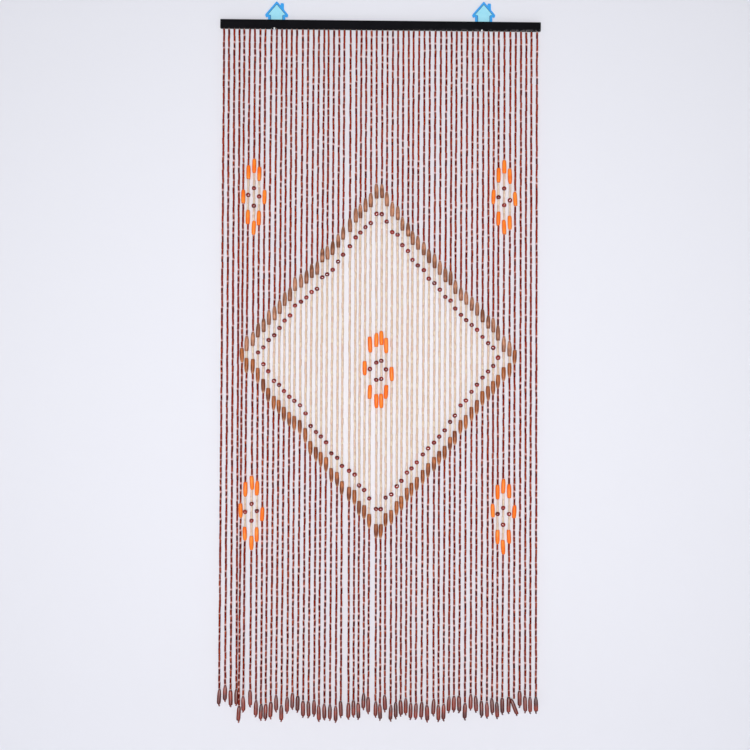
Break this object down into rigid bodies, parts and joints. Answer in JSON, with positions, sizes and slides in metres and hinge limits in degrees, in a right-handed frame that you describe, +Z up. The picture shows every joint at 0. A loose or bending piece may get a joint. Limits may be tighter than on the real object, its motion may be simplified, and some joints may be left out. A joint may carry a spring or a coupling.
{
  "type": "bead curtain with slat and wall hooks",
  "caption": "Doorway curtain of wooden bead strings with a diamond and flower pattern, hung from a dark slat resting in two house-shaped wall hooks.",
  "frame": {"origin": "on the wall plane behind the slat, level with the slat's middle line and halfway along it", "axes": "+Z up, +X to the right as seen from the room, +Y into the wall, the strings hang in front of the wall at -Y"},
  "size_m": [0.9038, 0.0232, 2.0227],
  "materials": {
    "slat": "black satin paint on wood",
    "beads_brown": "stained and lacquered wooden tubes",
    "beads_pale": "clear lacquered pale wooden tubes",
    "beads_tan": "clear lacquered turned wood",
    "beads_orange": "orange stained and lacquered turned wood",
    "beads_dark": "dark red-brown glossy lacquered wood",
    "thread": "pale twisted thread",
    "hook_plate": "blue moulded plastic",
    "hook_panel": "pale blue moulded plastic",
    "hook_prong": "white moulded plastic"
  },
  "bodies": {
    "root": {"slat": "slat", "bead_strands": "beads_brown", "hook_plate_left": "hook_plate", "hook_plate_right": "hook_plate", "hook_panel_left": "hook_panel", "hook_panel_right": "hook_panel", "hook_prong_left": "hook_prong", "hook_prong_right": "hook_prong"}
  },
  "joints": []
}
